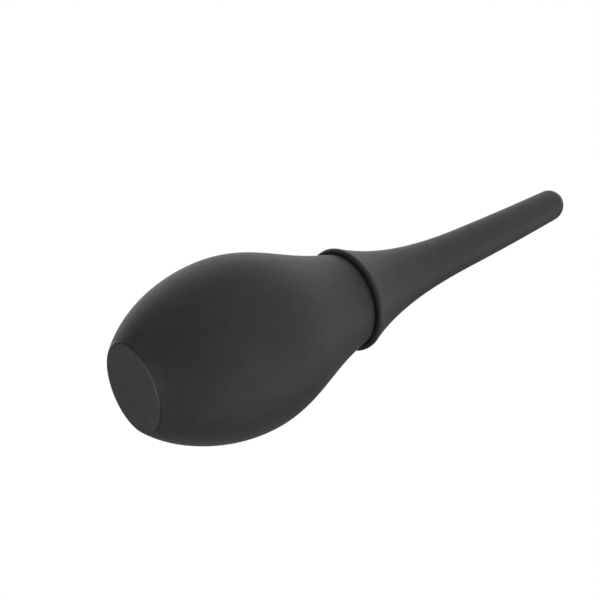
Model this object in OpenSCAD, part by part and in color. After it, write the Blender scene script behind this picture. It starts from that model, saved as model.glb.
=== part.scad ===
// Squeeze bulb blower: a soft pear-shaped bulb on a flat base, and a soft trumpet nozzle
// that is held by a hard spigot turning in a bush in the bulb's neck.
// The origin is the centre of the flat base, and +Z runs along the bulb's axis to the tip.

/* [Bulb] */
// Widest diameter of the bulb
belly_d = 60; // [56:1:66]
// Height of the widest place above the base
belly_z = 38.4; // [36:0.2:40]
// Diameter of the flat of the base
base_d = 29.2; // [27:0.2:30]
// Diameter of the neck where the nozzle's lip overhangs it
neck_d = 34.4; // [34:0.1:34.6]
// Height of the nozzle's lower edge above the base
lip_z = 86.8; // [85:0.2:89]
// Thickness of the soft wall
wall = 3; // [2.6:0.1:3.2]
// Thickness of the base
base_t = 4; // [3:0.5:5]

/* [Nozzle] */
// Height of the nozzle's tip above the base
tip_z = 217.6; // [205:0.2:240]
// Diameter over the rolled lip
lip_d = 38.2; // [37.8:0.1:40]
// Radius of the rolled lip
lip_roll = 1.5; // [1.3:0.1:1.6]
// Diameter of the shaft where the trumpet ends
shaft_d = 15.7; // [15.1:0.1:18]
// Diameter of the round tip
tip_d = 13.2; // [12:0.2:14]
// Diameter of the air bore
air_d = 5; // [4:0.5:6]
// Diameter of the outlet
outlet_d = 3; // [1.5:0.5:4]

/* [Connector] */
// Diameter of the mouth in the bulb's neck
mouth_d = 24; // [23:0.5:25]
// Diameter of the bush's bore
bush_bore_d = 18; // [17:0.5:19]
// Diameter of the spigot's bore
spigot_bore_d = 7; // [6:0.5:8]
// Diameter over the ribs that hold the nozzle
rib_d = 12; // [11.5:0.1:12.5]
// Radial clearance of a running fit
fit_gap = 0.05; // [0.02:0.01:0.1]

/* [Hidden] */
$fn = 96;
steps = 14; // points along each curved stretch of an outline
over = 1; // how far a cut runs past what it cuts

// Bulb, outside
belly_r = belly_d / 2;
base_r = base_d / 2;
neck_r = neck_d / 2;
edge_r = 0.5; // rounding of the base's edge
base_lean = 43; // angle at which the side leaves the base
edge_top = [base_r + edge_r * sin(base_lean), edge_r * (1 - cos(base_lean))];
base_pull = 12; // how far the side keeps to that angle
belly_pull_low = 15.4; // how far the side stays upright below the belly
belly_pull_high = 17; // and above it
neck_slope = 0.2; // narrowing of the neck per millimetre of height
neck_pull = 21.6; // how far below the lip the neck keeps to that slope
neck_top_z = lip_z + 4.6; // end of the soft neck, inside the skirt
neck_edge_r = 1; // rounding of the neck's end

// Bulb, inside
mouth_r = mouth_d / 2;
mouth_z = lip_z - 11; // lower end of the mouth
inside_base_r = edge_top[0] - wall * sin(base_lean)
    + (base_t - edge_top[1] - wall * cos(base_lean)) / tan(base_lean);
inside_base_pull = 8.5;
inside_belly_pull_low = 12;
inside_belly_pull_high = 14.5;
shoulder_r = mouth_r + 8.5; // the shoulder's curve aims for this place below the mouth
shoulder_z = mouth_z - 14;

// Bush
flange_t = 1.4; // thickness of the flanges of bush and spigot
bush_z = mouth_z - 2;
bush_top_z = neck_top_z + flange_t;
bush_flange_r = 14.4;
bush_rib_r = mouth_r - fit_gap;
bush_r = bush_rib_r - 0.35;
bush_rib_count = 4;
bush_rib_pitch = 3.5;
bush_rib_z = mouth_z + 1; // lowest rib
rib_t = 1; // height of a rib's straight side, and of its slope
rib_root = 0.5; // how deep a rib starts inside its tube

// Spigot and its seal
spigot_z = bush_z - 0.7; // lower end of the spigot, below the bush
spigot_flange_r = 12.4;
seat_z = bush_top_z + flange_t; // where the nozzle sits on the spigot
spigot_top_z = seat_z + 24;
journal_r = bush_bore_d / 2 - fit_gap;
snap_r = journal_r + 0.45; // edge that keeps the spigot in the bush
snap_t = 0.6;
rib_r = rib_d / 2;
stem_r = rib_r - 0.4;
rib_count = 5;
rib_pitch = 4;
rib_z = seat_z + 2; // lowest rib
seal_r = 0.8; // radius of the seal's section
groove_z = bush_z + 9; // middle of the seal's groove
groove_half = seal_r + fit_gap;
groove_r = journal_r - 2 * seal_r - fit_gap;

// Nozzle
lip_r = lip_d / 2;
tip_r = tip_d / 2;
air_r = air_d / 2;
outlet_r = outlet_d / 2;
outlet_len = 8;
trumpet_z = 157.8; // end of the trumpet
flare_angle = 24; // lean of the trumpet's wall where it leaves the lip
flare_pull = 22; // how far the wall keeps to that lean
shaft_pull = 25; // how far the wall keeps to the shaft's line
shaft_ease = 0.4; // widening of the shaft over that stretch
skirt_bore_r = lip_r - lip_roll;
skirt_step_z = lip_z + 1.6; // end of the skirt's straight bore
skirt_neck_z = lip_z + 6.2; // where the hollow has narrowed around the neck's end
skirt_neck_r = neck_r - 1;
skirt_top_r = bush_flange_r - 0.9;
socket_r = rib_r + fit_gap;
socket_top_z = spigot_top_z + 2;

charcoal = [0.19, 0.20, 0.21];
black_plastic = [0.10, 0.10, 0.11];
black_rubber = [0.05, 0.05, 0.05];

// Point on a cubic Bezier curve, at t from 0 to 1
function bezier(a, b, c, d, t) =
    pow(1 - t, 3) * a + 3 * pow(1 - t, 2) * t * b + 3 * (1 - t) * t * t * c + pow(t, 3) * d;

// Cubic Bezier curve, without its first point
function curve(a, b, c, d) = [for (i = [1:steps]) bezier(a, b, c, d, i / steps)];

// Arc about centre c, from angle a0 to a1, with its first point
function arc(c, r, a0, a1, n) =
    [for (i = [0:n]) let (a = a0 + (a1 - a0) * i / n) c + r * [cos(a), sin(a)]];

// Side of the bulb from point p up to its belly of radius r, leaving p along base_lean
function belly_side(p, pull, r, pull_low) =
    curve(p, p + pull * [cos(base_lean), sin(base_lean)], [r, belly_z - pull_low], [r, belly_z]);

function bulb_outside() =
    let (neck_end = [neck_r - neck_slope * (neck_top_z - lip_z) - neck_edge_r, neck_top_z - neck_edge_r])
    concat(
        [[0, 0]],
        arc([base_r, edge_r], edge_r, -90, base_lean - 90, 4),
        belly_side(edge_top, base_pull, belly_r, belly_pull_low),
        curve([belly_r, belly_z], [belly_r, belly_z + belly_pull_high],
            [neck_r + neck_pull * neck_slope, lip_z - neck_pull], [neck_r, lip_z]),
        arc(neck_end, neck_edge_r, 10, 90, 4)
    );

function bulb_inside() =
    let (r = belly_r - wall)
    concat(
        [[0, base_t], [inside_base_r, base_t]],
        belly_side([inside_base_r, base_t], inside_base_pull, r, inside_belly_pull_low),
        curve([r, belly_z], [r, belly_z + inside_belly_pull_high],
            [shoulder_r, shoulder_z], [mouth_r, mouth_z])
    );

module bulb_shell() {
    color(charcoal)
    difference() {
        rotate_extrude() polygon(concat(bulb_outside(), [[0, neck_top_z]]));
        rotate_extrude() polygon(concat(bulb_inside(), [[0, mouth_z]]));
        translate([0, 0, mouth_z - over]) cylinder(r = mouth_r, h = neck_top_z - mouth_z + 2 * over);
    }
}

// Rib with one sloping side, from radius r0 out to r1; it slopes downwards or upwards
module barb(r0, r1, slopes_up) {
    rotate_extrude()
        polygon([[r0 - rib_root, 0], [r0, 0], [r1, slopes_up ? 0 : rib_t], [r1, rib_t],
            [r0, 2 * rib_t], [r0 - rib_root, 2 * rib_t]]);
}

module neck_bush() {
    color(black_plastic)
    difference() {
        union() {
            translate([0, 0, bush_z]) cylinder(r = bush_r, h = bush_top_z - bush_z);
            translate([0, 0, neck_top_z]) cylinder(r = bush_flange_r, h = flange_t);
            for (i = [0:bush_rib_count - 1])
                translate([0, 0, bush_rib_z + i * bush_rib_pitch]) barb(bush_r, bush_rib_r, false);
        }
        translate([0, 0, bush_z - over]) cylinder(r = bush_bore_d / 2, h = bush_top_z - bush_z + 2 * over);
    }
}

module spigot() {
    color(black_plastic)
    difference() {
        union() {
            translate([0, 0, spigot_z]) cylinder(r = journal_r, h = bush_top_z - spigot_z);
            translate([0, 0, spigot_z]) cylinder(r1 = journal_r, r2 = snap_r, h = snap_t);
            translate([0, 0, bush_top_z]) cylinder(r = spigot_flange_r, h = flange_t);
            translate([0, 0, seat_z]) cylinder(r = stem_r, h = spigot_top_z - seat_z);
            for (i = [0:rib_count - 1])
                translate([0, 0, rib_z + i * rib_pitch]) barb(stem_r, rib_r, true);
        }
        translate([0, 0, spigot_z - over])
            cylinder(r = spigot_bore_d / 2, h = spigot_top_z - spigot_z + 2 * over);
        translate([0, 0, groove_z - groove_half])
        difference() {
            cylinder(r = journal_r + over, h = 2 * groove_half);
            translate([0, 0, -over]) cylinder(r = groove_r, h = 2 * groove_half + 2 * over);
        }
    }
}

module seal_ring() {
    color(black_rubber)
    translate([0, 0, groove_z])
    rotate_extrude() translate([journal_r - seal_r, 0]) circle(r = seal_r, $fn = 32);
}

function nozzle_outside() =
    let (
        roll = [skirt_bore_r, lip_z + lip_roll],
        flare = roll + lip_roll * [cos(flare_angle), sin(flare_angle)],
        shaft = [shaft_d / 2, trumpet_z]
    )
    concat(
        arc(roll, lip_roll, -90, flare_angle, 10),
        curve(flare, flare + flare_pull * [-sin(flare_angle), cos(flare_angle)],
            shaft + [shaft_ease, -shaft_pull], shaft),
        arc([0, tip_z - tip_r], tip_r, 0, 90, 12)
    );

module nozzle() {
    color(charcoal)
    difference() {
        rotate_extrude() polygon(concat([[0, lip_z]], nozzle_outside()));
        // hollow of the skirt, which clears the soft neck and the flanges
        rotate_extrude()
            polygon([[0, lip_z - over], [skirt_bore_r, lip_z - over], [skirt_bore_r, skirt_step_z],
                [skirt_neck_r, skirt_neck_z], [skirt_top_r, seat_z], [0, seat_z]]);
        translate([0, 0, seat_z - over]) cylinder(r = socket_r, h = socket_top_z - seat_z + over);
        translate([0, 0, socket_top_z]) cylinder(r1 = socket_r, r2 = air_r, h = socket_r - air_r);
        translate([0, 0, socket_top_z]) cylinder(r = air_r, h = tip_z - outlet_len - socket_top_z);
        translate([0, 0, tip_z - outlet_len - over]) cylinder(r = outlet_r, h = outlet_len + 2 * over);
    }
}

bulb_shell();
neck_bush();
spigot();
seal_ring();
nozzle();
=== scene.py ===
"""Squeeze bulb blower: soft charcoal bulb and nozzle, with the hard connector between them."""
import math

import bmesh
import bpy
import numpy as np
from mathutils import Matrix, Vector


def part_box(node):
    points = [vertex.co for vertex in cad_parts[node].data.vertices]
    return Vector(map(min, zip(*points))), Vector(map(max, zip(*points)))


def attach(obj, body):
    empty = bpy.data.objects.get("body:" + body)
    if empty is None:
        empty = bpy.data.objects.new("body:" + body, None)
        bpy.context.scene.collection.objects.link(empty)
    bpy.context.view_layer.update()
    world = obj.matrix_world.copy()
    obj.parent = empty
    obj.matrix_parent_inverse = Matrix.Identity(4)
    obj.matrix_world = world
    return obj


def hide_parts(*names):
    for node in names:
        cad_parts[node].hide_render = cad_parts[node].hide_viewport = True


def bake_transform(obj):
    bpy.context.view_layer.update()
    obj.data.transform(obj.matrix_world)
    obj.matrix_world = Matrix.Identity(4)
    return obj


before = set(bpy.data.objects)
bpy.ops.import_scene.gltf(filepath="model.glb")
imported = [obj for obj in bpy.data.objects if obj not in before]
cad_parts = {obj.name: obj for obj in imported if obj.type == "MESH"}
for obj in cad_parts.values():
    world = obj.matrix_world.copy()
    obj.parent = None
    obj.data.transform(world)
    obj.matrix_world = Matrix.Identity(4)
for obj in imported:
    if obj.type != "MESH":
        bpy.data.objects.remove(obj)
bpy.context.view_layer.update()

MM = 0.001


# ---------------------------------------------------------------- sizes, in metres

bulb_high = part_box("bulb_shell")[1]
bush_low, bush_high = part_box("neck_bush")
spigot_low, spigot_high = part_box("spigot")
nozzle_low, nozzle_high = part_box("nozzle")

BELLY_R = bulb_high.x
NECK_TOP = bulb_high.z
LIP_Z = nozzle_low.z
LIP_R = nozzle_high.x
TIP_Z = nozzle_high.z + 0.17 * MM  # the outlet takes the very top off the round tip

# A "pull" is the length of a Bezier handle: how far a curve keeps its first or last direction.
BELLY_Z = 38.4 * MM
BELLY_PULL_DOWN = 15.4 * MM
BELLY_PULL_UP = 17 * MM
BASE_R = 14.6 * MM
BASE_EDGE = 0.5 * MM
BASE_LEAN = math.radians(43)  # how steeply the side leaves the base's edge
BASE_PULL = 12 * MM
BASE_T = 4 * MM
WALL = 3 * MM
HOLLOW_BASE_R = 14.7 * MM
HOLLOW_BASE_PULL = 8.5 * MM
HOLLOW_PULL_DOWN = 12 * MM
HOLLOW_PULL_UP = 14.5 * MM
HOLLOW_MOUTH_OUT = 8.5 * MM  # the hollow's handle under the mouth reaches outwards and down
HOLLOW_MOUTH_DOWN = 14 * MM
NECK_R = 17.2 * MM
NECK_SLOPE = 0.2  # how much the neck narrows for its height
NECK_PULL = 21.6 * MM
NECK_EDGE = 1 * MM
NECK_EDGE_START = math.radians(10)  # where the neck's side turns into its rounded edge
NECK_LEAN = 0.25 * MM  # how far the soft neck stands over towards -X at the lip
LEAN_Z = 45 * MM  # where that lean starts
MOUTH_R = 12 * MM
MOUTH_Z = LIP_Z - 11 * MM
DISH_R = 12 * MM  # shallow dish in the base
DISH_T = 0.1 * MM
DISH_SIDE = 4 * MM  # width of its sloping side
SWELLING = 0.12 * MM  # how far the soft belly is out of round
SWELLING_SPAN = 20 * MM
SWELLING_TURN = 0.7  # which way it is out of round, in radians
LOW_SHIFT = 0.12 * MM  # how far the soft bulb stands towards -X, low down
LOW_SHIFT_Z = 14 * MM
LOW_SHIFT_SPAN = 12 * MM

FLANGE_T = 1.4 * MM
BUSH_FLANGE_R = bush_high.x
BUSH_BORE_R = 9 * MM
BUSH_RIBS = 4
BUSH_RIB_STEP = 3.5 * MM
SPIGOT_FLANGE_R = spigot_high.x
SPIGOT_BORE_R = 3.5 * MM
SEAT_Z = NECK_TOP + 2 * FLANGE_T  # where the nozzle sits on the spigot's flange
STEM_RIBS = 5
STEM_RIB_STEP = 4 * MM
RIB_R = 6 * MM
STEM_R = 5.6 * MM
FIT = 0.05 * MM  # play between two pieces that fit in each other

LIP_ROLL = 1.5 * MM
FLARE = math.radians(24)  # how much the trumpet's lip spreads from upright
FLARE_PULL = 22 * MM
TRUMPET_Z = 157.8 * MM  # where the trumpet ends and the plain shaft starts
SHAFT_R = 7.85 * MM
SHAFT_PULL = 25 * MM
SHAFT_EASE = 0.4 * MM  # how far the trumpet's upper handle stands out from the shaft
TIP_R = 6.6 * MM
AIR_R = 2.5 * MM
OUTLET_R = 1.5 * MM
OUTLET_EDGE = 0.4 * MM  # its rounded edge
SOCKET_R = RIB_R + FIT
SOCKET_TOP = spigot_high.z + 2 * MM
TRUMPET_START = 30  # point of the nozzle's outside that is well over the lip
NOZZLE_BEND = 4.05 * MM  # how far the soft tip has set over towards -X
BEND_POWER = 1.95  # the bend grows with this power of the height
LIP_SHIFT = 0.1 * MM  # how far the soft lip stands towards -X
LIP_SHIFT_SPAN = 15 * MM

SEAM_ANGLE = math.radians(-105)  # azimuth of the mould's parting line, with another opposite
SEAM_WIDTH = 0.3 * MM
BULB_SEAM = 0.035 * MM  # how high the ridge stands
NOZZLE_SEAM = 0.012 * MM
BULB_COLUMNS = 180  # mesh columns round the axis
NOZZLE_COLUMNS = 144
HARD_COLUMNS = 120
SEAM_STEPS = np.radians([-1.6, -0.9, -0.45, 0, 0.45, 0.9, 1.6])  # mesh columns across the ridge
SEAM_CLEAR = math.radians(2)  # no other columns this near to it


# ---------------------------------------------------------------- outlines, as (radius, height)

def bezier(a, b, c, d, steps=40):
    """Cubic Bezier curve, without its first point."""
    a, b, c, d = (np.array(p, float) for p in (a, b, c, d))
    t = np.linspace(0, 1, steps + 1)[1:, None]
    return (1 - t) ** 3 * a + 3 * (1 - t) ** 2 * t * b + 3 * (1 - t) * t * t * c + t ** 3 * d


def arc(centre, radius, start, end, steps=10):
    """Circular arc with both ends; the angles are in radians, from the radius axis towards +Z."""
    a = np.linspace(start, end, steps + 1)[:, None]
    return np.array(centre) + radius * np.hstack([np.cos(a), np.sin(a)])


def line(start, end, step=1.2 * MM):
    """Straight stretch, without its first point, with points about one step apart."""
    start, end = np.array(start, float), np.array(end, float)
    count = max(1, round(float(np.linalg.norm(end - start)) / step))
    return start + (end - start) * np.linspace(0, 1, count + 1)[1:, None]


def lean(angle, length):
    """Step of a given length along an angle, from the radius axis towards +Z."""
    return length * np.array([math.cos(angle), math.sin(angle)])


def belly_side(start, pull, radius, pull_low, steps=56):
    """Side of the bulb up to its belly, leaving the start along the base's lean."""
    start = np.array(start)
    return bezier(start, start + lean(BASE_LEAN, pull),
                  (radius, BELLY_Z - pull_low), (radius, BELLY_Z), steps)


def filleted(corners, steps=4):
    """Closed outline from corners (radius, height, fillet)."""
    made = []
    count = len(corners)
    for i, (r, z, fillet) in enumerate(corners):
        here = np.array([r, z])
        back = np.array(corners[i - 1][:2]) - here
        ahead = np.array(corners[(i + 1) % count][:2]) - here
        size = min(fillet, 0.45 * np.linalg.norm(back), 0.45 * np.linalg.norm(ahead))
        if size <= 0:
            made.append(here)
            continue
        p = here + back / np.linalg.norm(back) * size
        q = here + ahead / np.linalg.norm(ahead) * size
        for t in np.linspace(0, 1, steps + 1):
            made.append((1 - t) ** 2 * p + 2 * (1 - t) * t * here + t * t * q)
    return np.array(made)


def joined(*stretches):
    """One outline from stretches, without the points that repeat where they meet."""
    points = np.vstack([np.atleast_2d(s) for s in stretches])
    keep = np.ones(len(points), bool)
    keep[1:] = np.linalg.norm(np.diff(points, axis=0), axis=1) > 1e-6
    return points[keep]


# ---------------------------------------------------------------- meshes

def turn_angles(count, seams=True):
    """Azimuths of a turned mesh, closer together along the two parting lines."""
    angles = np.linspace(0, 2 * math.pi, count, endpoint=False)
    if not seams:
        return angles
    for side in (SEAM_ANGLE, SEAM_ANGLE + math.pi):
        away = np.abs((angles - side + math.pi) % (2 * math.pi) - math.pi)
        angles = np.append(angles[away > SEAM_CLEAR], side + SEAM_STEPS)
    return np.sort(angles % (2 * math.pi))


def turned(name, outline, angles, closed):
    """Mesh turned about Z from an outline.

    A closed outline is a ring; an open one starts and ends on the axis.
    """
    bm = bmesh.new()
    rings = []
    for r, z in outline:
        if r < 1e-7:
            rings.append([bm.verts.new((0, 0, z))] * len(angles))
        else:
            rings.append([bm.verts.new((r * math.cos(a), r * math.sin(a), z)) for a in angles])
    pairs = list(zip(rings, rings[1:]))
    if closed:
        pairs.append((rings[-1], rings[0]))
    for low, high in pairs:
        for i in range(len(angles)):
            j = (i + 1) % len(angles)
            corners = []
            for v in (low[i], low[j], high[j], high[i]):
                if v not in corners:
                    corners.append(v)
            bm.faces.new(corners)
    bmesh.ops.recalc_face_normals(bm, faces=bm.faces)
    mesh = bpy.data.meshes.new(name)
    bm.to_mesh(mesh)
    bm.free()
    mesh.polygons.foreach_set("use_smooth", [True] * len(mesh.polygons))
    piece = bpy.data.objects.new(name, mesh)
    bpy.context.scene.collection.objects.link(piece)
    return piece


def reshape(piece, move):
    """Moves every vertex of a piece by a function of all its points."""
    mesh = piece.data
    points = np.empty(len(mesh.vertices) * 3)
    mesh.vertices.foreach_get("co", points)
    points = move(points.reshape(-1, 3))
    mesh.vertices.foreach_set("co", points.ravel())
    mesh.update()


def seam_height(points, outside, height):
    """Height of the parting line's ridge at each point of the outside."""
    radius = np.hypot(points[:, 0], points[:, 1])
    azimuth = np.arctan2(points[:, 1], points[:, 0])
    away = np.abs((azimuth - SEAM_ANGLE + math.pi / 2) % math.pi - math.pi / 2)
    return np.where(outside, height * np.exp(-(away * radius / SEAM_WIDTH) ** 2), 0)


def bell(z, middle, span):
    """1 at the middle height, and smoothly less above and below it."""
    return np.exp(-((z - middle) / span) ** 2)


def swell(points, amount):
    """Points moved outwards from the Z axis."""
    radius = np.maximum(np.hypot(points[:, 0], points[:, 1]), 1e-9)
    points[:, :2] += points[:, :2] / radius[:, None] * amount[:, None]
    return points


# ---------------------------------------------------------------- materials

SILICONE_SHADE = 0.013
SILICONE_GLOSS = (0.93, 0.97, 1.0, 1)  # its gloss and sheen are a little cool
SILICONE_IOR = 1.42
PLASTIC_IOR = 1.5
RIM_REACH = 0.22 * MM  # how far the polish reaches from a rim
RIM_POLISH = 0.28
FLOOR_FADE = (0.15, 1.0)  # metres from the object between which the floor turns white


def node_material(name):
    """New material with its node tree cleared down to one Principled shader and an output."""
    material = bpy.data.materials.new(name)
    material.use_nodes = True
    tree = material.node_tree
    tree.nodes.clear()
    output = tree.nodes.new("ShaderNodeOutputMaterial")
    shader = tree.nodes.new("ShaderNodeBsdfPrincipled")
    tree.links.new(shader.outputs["BSDF"], output.inputs["Surface"])
    return material, tree, shader


def noise(tree, coords, scale, detail=3.0, roughness=0.5):
    """Noise from 0 to 1, with about scale features in a metre."""
    node = tree.nodes.new("ShaderNodeTexNoise")
    node.inputs["Scale"].default_value = scale
    node.inputs["Detail"].default_value = detail
    node.inputs["Roughness"].default_value = roughness
    tree.links.new(coords, node.inputs["Vector"])
    return node.outputs["Fac"]


def ramp(tree, value, stops):
    """Colour at a value, between stops of (value, colour)."""
    node = tree.nodes.new("ShaderNodeValToRGB")
    node.color_ramp.elements[0].position, node.color_ramp.elements[0].color = stops[0]
    node.color_ramp.elements[1].position, node.color_ramp.elements[1].color = stops[-1]
    tree.links.new(value, node.inputs["Fac"])
    return node.outputs["Color"]


def spread(tree, value, low, high):
    """Value from 0 to 1 mapped to the range from low to high."""
    node = tree.nodes.new("ShaderNodeMapRange")
    node.inputs["To Min"].default_value = low
    node.inputs["To Max"].default_value = high
    tree.links.new(value, node.inputs["Value"])
    return node.outputs["Result"]


def bumped(tree, shader, heights):
    """Chain of bump nodes, each from (height output, strength, distance in metres)."""
    normal = None
    for height, strength, distance in heights:
        node = tree.nodes.new("ShaderNodeBump")
        node.inputs["Strength"].default_value = strength
        node.inputs["Distance"].default_value = distance
        tree.links.new(height, node.inputs["Height"])
        if normal is not None:
            tree.links.new(normal, node.inputs["Normal"])
        normal = node.outputs["Normal"]
    tree.links.new(normal, shader.inputs["Normal"])


def grey(value, cool=0.1):
    """Linear grey, cooler than neutral by a small part."""
    return (value * (1 - cool), value, value * (1 + cool), 1)


def mixed(tree, factor, a, b):
    """Colour a where the factor is 0 and colour b where it is 1."""
    node = tree.nodes.new("ShaderNodeMix")
    node.data_type = "RGBA"
    tree.links.new(factor, node.inputs["Factor"])
    for name, colour in (("A", a), ("B", b)):
        if isinstance(colour, tuple):
            node.inputs[name].default_value = colour
        else:
            tree.links.new(colour, node.inputs[name])
    return node.outputs["Result"]


def combined(tree, operation, a, b=0):
    """Result of a maths node on two values, each an output or a number."""
    node = tree.nodes.new("ShaderNodeMath")
    node.operation = operation
    for i, value in enumerate((a, b)):
        if isinstance(value, (int, float)):
            node.inputs[i].default_value = value
        else:
            tree.links.new(value, node.inputs[i])
    return node.outputs["Value"]


def stepped(tree, value, low, high):
    """0 where a value is below low, 1 where it is above high, and smooth between them."""
    node = tree.nodes.new("ShaderNodeMapRange")
    node.interpolation_type = "SMOOTHSTEP"
    node.inputs["From Min"].default_value = low
    node.inputs["From Max"].default_value = high
    tree.links.new(value, node.inputs["Value"])
    return node.outputs["Result"]


def stretched(tree, coords, scale):
    """Coordinates scaled by a different amount along each axis."""
    node = tree.nodes.new("ShaderNodeMapping")
    node.inputs["Scale"].default_value = scale
    tree.links.new(coords, node.inputs["Vector"])
    return node.outputs["Vector"]


def distance_from_axis(tree, coords):
    """Distance of a point from the Z axis, and its height."""
    split = tree.nodes.new("ShaderNodeSeparateXYZ")
    tree.links.new(coords, split.inputs["Vector"])
    across = combined(tree, "POWER", split.outputs["X"], 2)
    along = combined(tree, "POWER", split.outputs["Y"], 2)
    return combined(tree, "SQRT", combined(tree, "ADD", across, along)), split.outputs["Z"]


def rim_wear(tree, coords, radius, height):
    """1 on the rim at a radius and height, which handling has polished, and 0 away from it."""
    from_axis, z = distance_from_axis(tree, coords)
    out = combined(tree, "ABSOLUTE", combined(tree, "SUBTRACT", from_axis, radius))
    up = combined(tree, "ABSOLUTE", combined(tree, "SUBTRACT", z, height))
    away = combined(tree, "MAXIMUM", out, up)
    return combined(tree, "SUBTRACT", 1.0, stepped(tree, away, RIM_REACH, 2 * RIM_REACH))


def silicone(name, rim):
    """Soft-touch matte silicone: grain, cloudiness, scuffs, a trace of dust and a polished rim."""
    material, tree, shader = node_material(name)
    coords = tree.nodes.new("ShaderNodeTexCoord").outputs["Object"]
    cloud = noise(tree, coords, 55, 4)
    mottle = noise(tree, coords, 240, 5, 0.62)
    grain = noise(tree, coords, 5200, 2)
    ripple = noise(tree, coords, 420, 3)
    streaks = noise(tree, stretched(tree, coords, (900, 900, 110)), 1, 2)  # long in Z
    scuff = combined(tree, "MULTIPLY", stepped(tree, streaks, 0.70, 0.80), 0.2)
    specks = tree.nodes.new("ShaderNodeTexVoronoi")
    specks.inputs["Scale"].default_value = 620
    tree.links.new(coords, specks.inputs["Vector"])
    dust = combined(tree, "SUBTRACT", 1.0, stepped(tree, specks.outputs["Distance"], 0.0, 0.07))
    marks = combined(tree, "MAXIMUM", combined(tree, "MULTIPLY", dust, 0.35), scuff)
    uneven = combined(tree, "MULTIPLY", combined(tree, "ADD", cloud, mottle), 0.5)
    base = ramp(tree, uneven, [(0.36, grey(SILICONE_SHADE * 0.7)),
                               (0.64, grey(SILICONE_SHADE * 1.3))])
    marked = mixed(tree, marks, base, grey(SILICONE_SHADE * 3, 0))
    tree.links.new(marked, shader.inputs["Base Color"])
    matte = spread(tree, ripple, 0.50, 0.62)
    polish = combined(tree, "MULTIPLY", rim_wear(tree, coords, *rim), RIM_POLISH)
    tree.links.new(combined(tree, "SUBTRACT", matte, polish), shader.inputs["Roughness"])
    shader.inputs["IOR"].default_value = SILICONE_IOR
    shader.inputs["Specular Tint"].default_value = SILICONE_GLOSS
    shader.inputs["Sheen Weight"].default_value = 0.10
    shader.inputs["Sheen Roughness"].default_value = 0.45
    shader.inputs["Sheen Tint"].default_value = SILICONE_GLOSS
    bumped(tree, shader, [(mottle, 0.15, 0.06 * MM), (ripple, 0.25, 0.05 * MM),
                          (grain, 0.35, 0.012 * MM)])
    return material


def moulded_plastic(name, shade, roughness):
    """Hard injection-moulded plastic with a fine spark-eroded texture."""
    material, tree, shader = node_material(name)
    coords = tree.nodes.new("ShaderNodeTexCoord").outputs["Object"]
    cloud = noise(tree, coords, 160, 3)
    grain = noise(tree, coords, 2600, 2)
    base = ramp(tree, cloud, [(0.3, grey(shade * 0.85)), (0.7, grey(shade * 1.15))])
    tree.links.new(base, shader.inputs["Base Color"])
    uneven = spread(tree, grain, roughness - 0.05, roughness + 0.06)
    tree.links.new(uneven, shader.inputs["Roughness"])
    shader.inputs["IOR"].default_value = PLASTIC_IOR
    bumped(tree, shader, [(grain, 0.3, 0.02 * MM)])
    return material


def floor_material():
    """Plain pale sweep: a matte floor round the object that turns into the white backdrop.

    It has only an upper side: seen from below the base, it is clear.
    """
    material, tree, shader = node_material("pale_floor")
    coords = tree.nodes.new("ShaderNodeTexCoord").outputs["Object"]
    tint = ramp(tree, noise(tree, coords, 6, 2), [(0.3, grey(0.86, 0)), (0.7, grey(0.88, 0))])
    tree.links.new(tint, shader.inputs["Base Color"])
    shader.inputs["Roughness"].default_value = 0.8
    backdrop = tree.nodes.new("ShaderNodeEmission")
    radius = distance_from_axis(tree, coords)[0]
    sweep = tree.nodes.new("ShaderNodeMixShader")
    tree.links.new(stepped(tree, radius, *FLOOR_FADE), sweep.inputs["Fac"])
    tree.links.new(shader.outputs["BSDF"], sweep.inputs[1])
    tree.links.new(backdrop.outputs["Emission"], sweep.inputs[2])
    side = tree.nodes.new("ShaderNodeNewGeometry").outputs["Backfacing"]
    clear = tree.nodes.new("ShaderNodeBsdfTransparent")
    mix = tree.nodes.new("ShaderNodeMixShader")
    tree.links.new(side, mix.inputs["Fac"])
    tree.links.new(sweep.outputs["Shader"], mix.inputs[1])
    tree.links.new(clear.outputs["BSDF"], mix.inputs[2])
    output = next(n for n in tree.nodes if n.type == "OUTPUT_MATERIAL")
    tree.links.new(mix.outputs["Shader"], output.inputs["Surface"])
    return material


# ---------------------------------------------------------------- pieces

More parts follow.
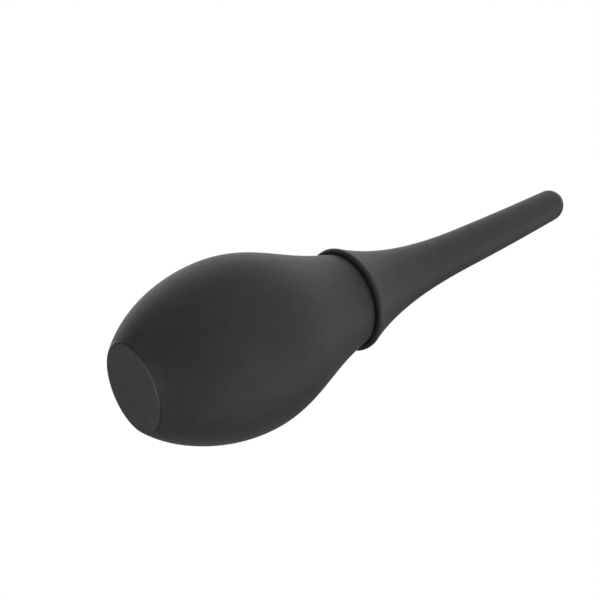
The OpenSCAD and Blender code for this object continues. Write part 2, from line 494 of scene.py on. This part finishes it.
def make_bulb():
    """Soft hollow bulb: flat base, full belly, concave shoulder, round neck end, open mouth."""
    edge_centre = (BASE_R, BASE_EDGE)
    edge_top = np.array(edge_centre) + lean(BASE_LEAN - math.pi / 2, BASE_EDGE)
    outside = joined(
        [[0, DISH_T]],
        line((0, DISH_T), (DISH_R - DISH_SIDE, DISH_T), 2 * MM),
        bezier((DISH_R - DISH_SIDE, DISH_T), (DISH_R - DISH_SIDE / 2, DISH_T),
               (DISH_R - DISH_SIDE / 2, 0), (DISH_R, 0), 8),
        arc(edge_centre, BASE_EDGE, -math.pi / 2, BASE_LEAN - math.pi / 2, 8),
        belly_side(edge_top, BASE_PULL, BELLY_R, BELLY_PULL_DOWN),
        bezier((BELLY_R, BELLY_Z), (BELLY_R, BELLY_Z + BELLY_PULL_UP),
               (NECK_R + NECK_PULL * NECK_SLOPE, LIP_Z - NECK_PULL), (NECK_R, LIP_Z), 70),
    )
    neck_end = arc((NECK_R - NECK_SLOPE * (NECK_TOP - LIP_Z) - NECK_EDGE, NECK_TOP - NECK_EDGE),
                   NECK_EDGE, NECK_EDGE_START, math.pi / 2, 8)
    hollow_r = BELLY_R - WALL
    hollow_base = (HOLLOW_BASE_R, BASE_T)
    hollow = joined(
        [[MOUTH_R, NECK_TOP]],
        line((MOUTH_R, NECK_TOP), (MOUTH_R, MOUTH_Z)),
        bezier((MOUTH_R, MOUTH_Z), (MOUTH_R + HOLLOW_MOUTH_OUT, MOUTH_Z - HOLLOW_MOUTH_DOWN),
               (hollow_r, BELLY_Z + HOLLOW_PULL_UP), (hollow_r, BELLY_Z), 30),
        belly_side(hollow_base, HOLLOW_BASE_PULL, hollow_r, HOLLOW_PULL_DOWN, 30)[::-1],
        [hollow_base, [0, BASE_T]],
    )
    outline = joined(outside, neck_end, hollow)
    piece = turned("bulb", outline, turn_angles(BULB_COLUMNS), closed=False)

    def soften(points):
        """Leaves the mesh a little out of round and out of line, with its parting lines."""
        x, y, z = points.T
        wall_r = np.interp(z, outside[:, 1], outside[:, 0])
        skin = (np.hypot(x, y) > wall_r - 1 * MM) & (z > 0.5 * MM) & (z < LIP_Z + 2 * MM)
        swelling = np.sin(2 * np.arctan2(y, x) + SWELLING_TURN) * bell(z, BELLY_Z, SWELLING_SPAN)
        points = swell(points, SWELLING * swelling + seam_height(points, skin, BULB_SEAM))
        points[:, 0] -= NECK_LEAN * (np.maximum(z - LEAN_Z, 0) / (LIP_Z - LEAN_Z)) ** 2
        points[:, 0] -= LOW_SHIFT * bell(z, LOW_SHIFT_Z, LOW_SHIFT_SPAN)
        return points

    reshape(piece, soften)
    return piece


def make_nozzle():
    """Soft nozzle: rolled lip, trumpet, shaft and round tip, with air bore, socket and skirt."""
    roll = np.array([LIP_R - LIP_ROLL, LIP_Z + LIP_ROLL])
    flare = roll + lean(FLARE, LIP_ROLL)
    outlet_angle = math.acos((OUTLET_R + OUTLET_EDGE) / TIP_R)
    outlet_z = TIP_Z - TIP_R + TIP_R * math.sin(outlet_angle)
    outside = joined(
        arc(roll, LIP_ROLL, -math.pi / 2, FLARE, 22),
        bezier(flare, flare + lean(FLARE + math.pi / 2, FLARE_PULL),
               (SHAFT_R + SHAFT_EASE, TRUMPET_Z - SHAFT_PULL), (SHAFT_R, TRUMPET_Z), 70),
        line((SHAFT_R, TRUMPET_Z), (TIP_R, TIP_Z - TIP_R)),
        arc((0, TIP_Z - TIP_R), TIP_R, 0, outlet_angle, 22),
    )
    inside = joined(
        arc((OUTLET_R + OUTLET_EDGE, outlet_z - OUTLET_EDGE), OUTLET_EDGE, math.pi / 2, math.pi, 5),
        line((OUTLET_R, outlet_z - OUTLET_EDGE), (OUTLET_R, TIP_Z - 8 * MM)),
        line((OUTLET_R, TIP_Z - 8 * MM), (AIR_R, TIP_Z - 9 * MM)),
        line((AIR_R, TIP_Z - 9 * MM), (AIR_R, SOCKET_TOP + SOCKET_R - AIR_R), 3 * MM),
        [[SOCKET_R, SOCKET_TOP]],
        line((SOCKET_R, SOCKET_TOP), (SOCKET_R, SEAT_Z + 0.4 * MM), 2 * MM),
        [[SOCKET_R + 0.4 * MM, SEAT_Z]],
        line((SOCKET_R + 0.4 * MM, SEAT_Z), (BUSH_FLANGE_R - 0.9 * MM, SEAT_Z)),
        line((BUSH_FLANGE_R - 0.9 * MM, SEAT_Z), (NECK_R - 1 * MM, LIP_Z + 6.2 * MM)),
        line((NECK_R - 1 * MM, LIP_Z + 6.2 * MM), (LIP_R - LIP_ROLL, LIP_Z + 1.6 * MM)),
        line((LIP_R - LIP_ROLL, LIP_Z + 1.6 * MM), (LIP_R - LIP_ROLL, LIP_Z + 0.3 * MM), 0.4 * MM),
    )
    outline = joined(outside, inside)
    piece = turned("nozzle_skin", outline, turn_angles(NOZZLE_COLUMNS), closed=True)

    def bend(points):
        """Leaves the mesh bent towards -X, with its parting lines."""
        x, y, z = points.T
        trumpet = outside[TRUMPET_START:]
        wall_r = np.interp(z, trumpet[:, 1], trumpet[:, 0])
        skin = (np.hypot(x, y) > wall_r - 0.4 * MM) & (z > LIP_Z + 3 * MM) & (z < TIP_Z - 2 * MM)
        points = swell(points, seam_height(points, skin, NOZZLE_SEAM))
        up = np.clip((z - LIP_Z) / (TIP_Z - LIP_Z), 0, 1)
        points[:, 0] -= NOZZLE_BEND * up ** BEND_POWER + LIP_SHIFT * bell(z, LIP_Z, LIP_SHIFT_SPAN)
        return points

    reshape(piece, bend)
    return piece


def make_bush():
    """Hard bush in the soft mouth, with a flange on the neck's end and ribs that grip the mouth."""
    low = bush_low.z
    high = NECK_TOP + FLANGE_T
    rib = MOUTH_R - FIT
    body = rib - 0.35 * MM
    corners = [(BUSH_BORE_R, low, 0.3 * MM), (body, low, 0.4 * MM)]
    for i in range(BUSH_RIBS):
        start = MOUTH_Z + 1 * MM + i * BUSH_RIB_STEP
        corners += [(body, start, 0), (rib, start + 1 * MM, 0.1 * MM), (body, start + 2 * MM, 0)]
    corners += [(body, NECK_TOP, 0), (BUSH_FLANGE_R, NECK_TOP, 0.3 * MM),
                (BUSH_FLANGE_R, high, 0.35 * MM), (BUSH_BORE_R, high, 0.25 * MM)]
    return turned("bush", filleted(corners), turn_angles(HARD_COLUMNS, seams=False), closed=True)


def make_spigot():
    """Hard tube: journal with a seal groove, flange, and a ribbed stem that holds the nozzle."""
    low, high = spigot_low.z, spigot_high.z
    journal = BUSH_BORE_R - FIT
    groove_r = journal - 1.65 * MM
    groove_z, groove_half = bush_low.z + 9 * MM, 0.85 * MM
    groove_low, groove_high = groove_z - groove_half, groove_z + groove_half
    flange_z = NECK_TOP + FLANGE_T
    corners = [(SPIGOT_BORE_R, low, 0.4 * MM), (journal, low, 0.2 * MM),
               (journal + 0.45 * MM, low + 0.6 * MM, 0), (journal, low + 0.62 * MM, 0),
               (journal, groove_low, 0.1 * MM), (groove_r, groove_low, 0),
               (groove_r, groove_high, 0), (journal, groove_high, 0.1 * MM),
               (journal, flange_z, 0), (SPIGOT_FLANGE_R, flange_z, 0.25 * MM),
               (SPIGOT_FLANGE_R, SEAT_Z, 0.3 * MM), (STEM_R, SEAT_Z, 0.25 * MM)]
    for i in range(STEM_RIBS):
        start = SEAT_Z + 2 * MM + i * STEM_RIB_STEP
        corners += [(STEM_R, start, 0), (RIB_R, start, 0.12 * MM),
                    (RIB_R, start + 1 * MM, 0.12 * MM), (STEM_R, start + 2 * MM, 0)]
    corners += [(STEM_R, high, 0.5 * MM), (SPIGOT_BORE_R, high, 0.4 * MM)]
    angles = turn_angles(HARD_COLUMNS, seams=False)
    return turned("spigot_tube", filleted(corners), angles, closed=True)


def dress(piece, material, body, slot, *nodes, blend=None):
    """Gives a piece its material and hides the CAD nodes that it stands for; a piece with a blend
    is baked where it stands, any other is put on its body. The slot is not used.
    """
    piece.data.materials.append(material)
    if blend:
        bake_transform(piece)
    else:
        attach(piece, body)
    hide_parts(*nodes)


bulb_material = silicone("bulb_silicone", (BASE_R + BASE_EDGE / 2, BASE_EDGE / 4))
nozzle_material = silicone("nozzle_silicone", (LIP_R, LIP_Z + LIP_ROLL))
dress(make_bulb(), bulb_material, "bulb", "bulb_silicone", "bulb_shell",
      blend=("bulb", "neck", (0, 0, 8 * MM), (0, 0, 72 * MM)))
dress(make_nozzle(), nozzle_material, "nozzle", "nozzle_silicone", "nozzle")
dress(make_bush(), moulded_plastic("bush_plastic", 0.02, 0.42),
      "neck", "bush_plastic", "neck_bush")
dress(make_spigot(), moulded_plastic("spigot_plastic", 0.018, 0.3),
      "spigot", "spigot_plastic", "spigot")
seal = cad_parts["seal_ring"]
seal.data.materials.clear()
seal.data.materials.append(moulded_plastic("seal_rubber", 0.012, 0.5))


# ---------------------------------------------------------------- stage, light and camera

AMBIENT = 0.08  # even light on the object, as a part of the backdrop's white
FLOOR_HALF = 6.0  # metres from the middle to each side
FLOOR_DROP = 0.3 * MM  # how far it lies under the base
LIGHT_AIM = Vector((0, 0, 75 * MM))
CAMERA_LENS = 57.24  # millimetres, on a 36 mm sensor
CAMERA_PLACE = Vector((0, -268.4 * MM, -121.7 * MM))
CAMERA_AIM = Vector((-6.03 * MM, -0.08 * MM, 70.3 * MM))
CAMERA_ROLL = math.radians(68.04)


def make_floor():
    """Pale floor just under the base. It takes shadows and throws no light on the object."""
    mesh = bpy.data.meshes.new("floor")
    corners = [(x * FLOOR_HALF, y * FLOOR_HALF, 0) for x, y in ((-1, -1), (1, -1), (1, 1), (-1, 1))]
    mesh.from_pydata(corners, [], [(0, 1, 2, 3)])
    floor = bpy.data.objects.new("floor", mesh)
    floor.location.z = -FLOOR_DROP
    bpy.context.scene.collection.objects.link(floor)
    mesh.materials.append(floor_material())
    floor.visible_diffuse = False
    floor.visible_glossy = False
    floor.visible_transmission = False
    floor.visible_shadow = False


def make_world():
    """Backdrop that is white to the camera, and much dimmer as a light on the object."""
    world = bpy.data.worlds.new("studio")
    bpy.context.scene.world = world
    world.use_nodes = True
    tree = world.node_tree
    background = tree.nodes["Background"]
    background.inputs["Color"].default_value = (1, 1, 1, 1)
    seen = tree.nodes.new("ShaderNodeLightPath").outputs["Is Camera Ray"]
    tree.links.new(spread(tree, seen, AMBIENT, 1.0), background.inputs["Strength"])


def soft_light(name, direction, size, brightness):
    """Round softbox one metre from the object; a brightness of 1 is the backdrop's white."""
    light = bpy.data.lights.new(name, "AREA")
    light.shape = "DISK"
    light.size = size
    light.energy = brightness * math.pi ** 2 / 4 * size ** 2
    holder = bpy.data.objects.new(name, light)
    direction = Vector(direction).normalized()
    holder.location = LIGHT_AIM + direction
    holder.rotation_euler = direction.to_track_quat("Z", "Y").to_euler()
    holder.visible_camera = False
    bpy.context.scene.collection.objects.link(holder)


def make_lights():
    """Six softboxes all round: name, direction, diameter in metres and brightness."""
    soft_light("front_top", (0, -0.74, 0.68), 3.2, 0.92)
    soft_light("back_top", (-0.49, 0.68, 0.55), 1.93, 1.05)
    soft_light("right", (0.9, -0.43, 0.04), 1.3, 1.2)
    soft_light("front", (-0.05, -0.86, -0.5), 1.4, 0.36)
    soft_light("left", (-0.9, -0.35, -0.1), 1.3, 0.46)
    soft_light("under_base", (0.05, 0.19, -0.98), 0.9, 3.7)


def make_camera():
    """Camera low in front, looking up along the bulb, rolled so that the nozzle is up right."""
    camera = bpy.data.cameras.new("camera")
    camera.sensor_width = 36
    camera.lens = CAMERA_LENS
    camera.clip_start, camera.clip_end = 0.01, 50
    holder = bpy.data.objects.new("camera", camera)
    roll = Matrix.Rotation(CAMERA_ROLL, 4, "Z")
    turn = (CAMERA_AIM - CAMERA_PLACE).to_track_quat("-Z", "Y").to_matrix().to_4x4() @ roll
    holder.matrix_world = Matrix.Translation(CAMERA_PLACE) @ turn
    bpy.context.scene.collection.objects.link(holder)
    bpy.context.scene.camera = holder


make_floor()
make_world()
make_lights()
make_camera()
bpy.context.scene.view_settings.view_transform = "Standard"
